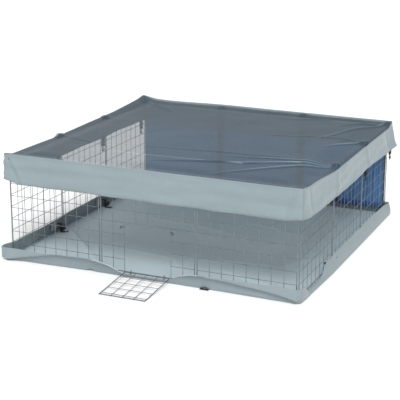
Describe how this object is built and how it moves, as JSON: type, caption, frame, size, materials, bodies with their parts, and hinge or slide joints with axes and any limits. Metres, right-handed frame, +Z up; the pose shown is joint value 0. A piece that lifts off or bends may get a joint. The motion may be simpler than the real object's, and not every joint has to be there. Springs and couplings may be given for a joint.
{
  "type": "pet playpen",
  "caption": "Square wire-panel pet playpen with a turned-up fabric floor mat, a lift-off net cover with a fabric skirt, a windbreak and a fold-down front door.",
  "frame": {"origin": "on the ground at the middle of the pen, on the underside of the floor mat", "axes": "+Z up, +X to the right along the front wall, -Y out through the front door"},
  "size_m": [1.1402, 1.3271, 0.3938],
  "materials": {
    "zinc_wire": "zinc-plated welded wire, satin",
    "black_plastic": "moulded black polypropylene, fine matt texture",
    "grey_oxford": "light blue-grey coated oxford cloth, soft sheen",
    "roof_net": "dark see-through polyester net",
    "blue_nylon": "royal blue nylon taffeta with a navy hem",
    "black_webbing": "woven black polypropylene webbing"
  },
  "bodies": {
    "base": {"floor_mat": "grey_oxford", "panel_front_left": "zinc_wire", "panel_front_door": "zinc_wire", "panel_front_right": "zinc_wire", "hinge_ring_left": "zinc_wire", "hinge_ring_right": "zinc_wire", "connector_top_front_left": "black_plastic", "connector_foot_front_left": "black_plastic", "connector_top_front_right": "black_plastic", "connector_foot_front_right": "black_plastic", "connector_top_corner_front_left": "black_plastic", "connector_foot_corner_front_left": "black_plastic", "connector_top_corner_front_right": "black_plastic", "connector_foot_corner_front_right": "black_plastic"},
    "door": {"door_flap": "zinc_wire"},
    "catch_left": {"door_catch_left": "zinc_wire"},
    "catch_right": {"door_catch_right": "zinc_wire"},
    "left_front": {"panel_left_front": "zinc_wire", "mat_tie_left_front": "black_webbing"},
    "left_middle": {"panel_left_middle": "zinc_wire", "mat_tie_left_back": "black_webbing", "connector_top_left_front": "black_plastic", "connector_foot_left_front": "black_plastic", "connector_top_left_back": "black_plastic", "connector_foot_left_back": "black_plastic"},
    "left_back": {"panel_left_back": "zinc_wire"},
    "right_front": {"panel_right_front": "zinc_wire"},
    "right_middle": {"panel_right_middle": "zinc_wire", "mat_tie_right_front": "black_webbing", "connector_top_right_front": "black_plastic", "connector_foot_right_front": "black_plastic", "connector_top_right_back": "black_plastic", "connector_foot_right_back": "black_plastic"},
    "right_back": {"panel_right_back": "zinc_wire", "mat_tie_right_back": "black_webbing"},
    "back_wall": {"panel_back_left": "zinc_wire", "panel_back_middle": "zinc_wire", "panel_back_right": "zinc_wire", "windbreak": "blue_nylon", "connector_top_back_left": "black_plastic", "connector_foot_back_left": "black_plastic", "connector_top_back_right": "black_plastic", "connector_foot_back_right": "black_plastic", "connector_top_corner_back_left": "black_plastic", "connector_foot_corner_back_left": "black_plastic", "connector_top_corner_back_right": "black_plastic", "connector_foot_corner_back_right": "black_plastic"},
    "cover": {"cover_net": "roof_net", "cover_skirt_front": "grey_oxford", "cover_skirt_back": "grey_oxford", "cover_skirt_left": "grey_oxford", "cover_skirt_right": "grey_oxford", "tie_hook_left_front": "black_plastic", "tie_hook_left_back": "black_plastic", "tie_hook_left_corner": "black_plastic", "tie_hook_right_front": "black_plastic", "tie_hook_right_back": "black_plastic", "tie_hook_right_corner": "black_plastic"}
  },
  "joints": [
    {"name": "fold", "type": "hinge", "parent": "base", "child": "left_front", "pos_m": [-0.55536, -0.549, 0], "axis": [0, 0, -1], "range_deg": [0, 75]},
    {"name": "fold_left_middle", "type": "hinge", "parent": "left_front", "child": "left_middle", "pos_m": [-0.55536, -0.189, 0], "axis": [0, 0, 1], "range_deg": [0, 75]},
    {"name": "fold_left_back", "type": "hinge", "parent": "left_middle", "child": "left_back", "pos_m": [-0.55536, 0.189, 0], "axis": [0, 0, 1], "range_deg": [0, 75]},
    {"name": "fold_back_wall", "type": "hinge", "parent": "left_back", "child": "back_wall", "pos_m": [-0.55536, 0.549, 0], "axis": [0, 0, -1], "range_deg": [0, 75]},
    {"name": "fold_right_front", "type": "hinge", "parent": "base", "child": "right_front", "pos_m": [0.55536, -0.549, 0], "axis": [0, 0, 1], "range_deg": [0, 75]},
    {"name": "fold_right_middle", "type": "hinge", "parent": "right_front", "child": "right_middle", "pos_m": [0.55536, -0.189, 0], "axis": [0, 0, -1], "range_deg": [0, 75]},
    {"name": "fold_right_back", "type": "hinge", "parent": "right_middle", "child": "right_back", "pos_m": [0.55536, 0.189, 0], "axis": [0, 0, -1], "range_deg": [0, 75]},
    {"name": "door_hinge", "type": "hinge", "parent": "base", "child": "door", "pos_m": [0, -0.56036, 0.0169], "axis": [-1, 0, 0], "range_deg": [0, 94.3]},
    {"name": "catch_left_turn", "type": "hinge", "parent": "base", "child": "catch_left", "pos_m": [-0.09, -0.55536, 0.1809], "axis": [0, 0, 1], "range_deg": [0, 90]},
    {"name": "catch_right_turn", "type": "hinge", "parent": "base", "child": "catch_right", "pos_m": [0.09, -0.55536, 0.1809], "axis": [0, 0, -1], "range_deg": [0, 90]},
    {"name": "cover_lift", "type": "slide", "parent": "base", "child": "cover", "axis": [0, 0, 1], "range_m": [0, 0.45]}
  ],
  "couplings": [
    {"joint": "fold_left_middle", "follows": "fold", "ratio": 1},
    {"joint": "fold_left_back", "follows": "fold", "ratio": 1},
    {"joint": "fold_back_wall", "follows": "fold", "ratio": 1},
    {"joint": "fold_right_front", "follows": "fold", "ratio": 1},
    {"joint": "fold_right_middle", "follows": "fold", "ratio": 1},
    {"joint": "fold_right_back", "follows": "fold", "ratio": 1}
  ]
}
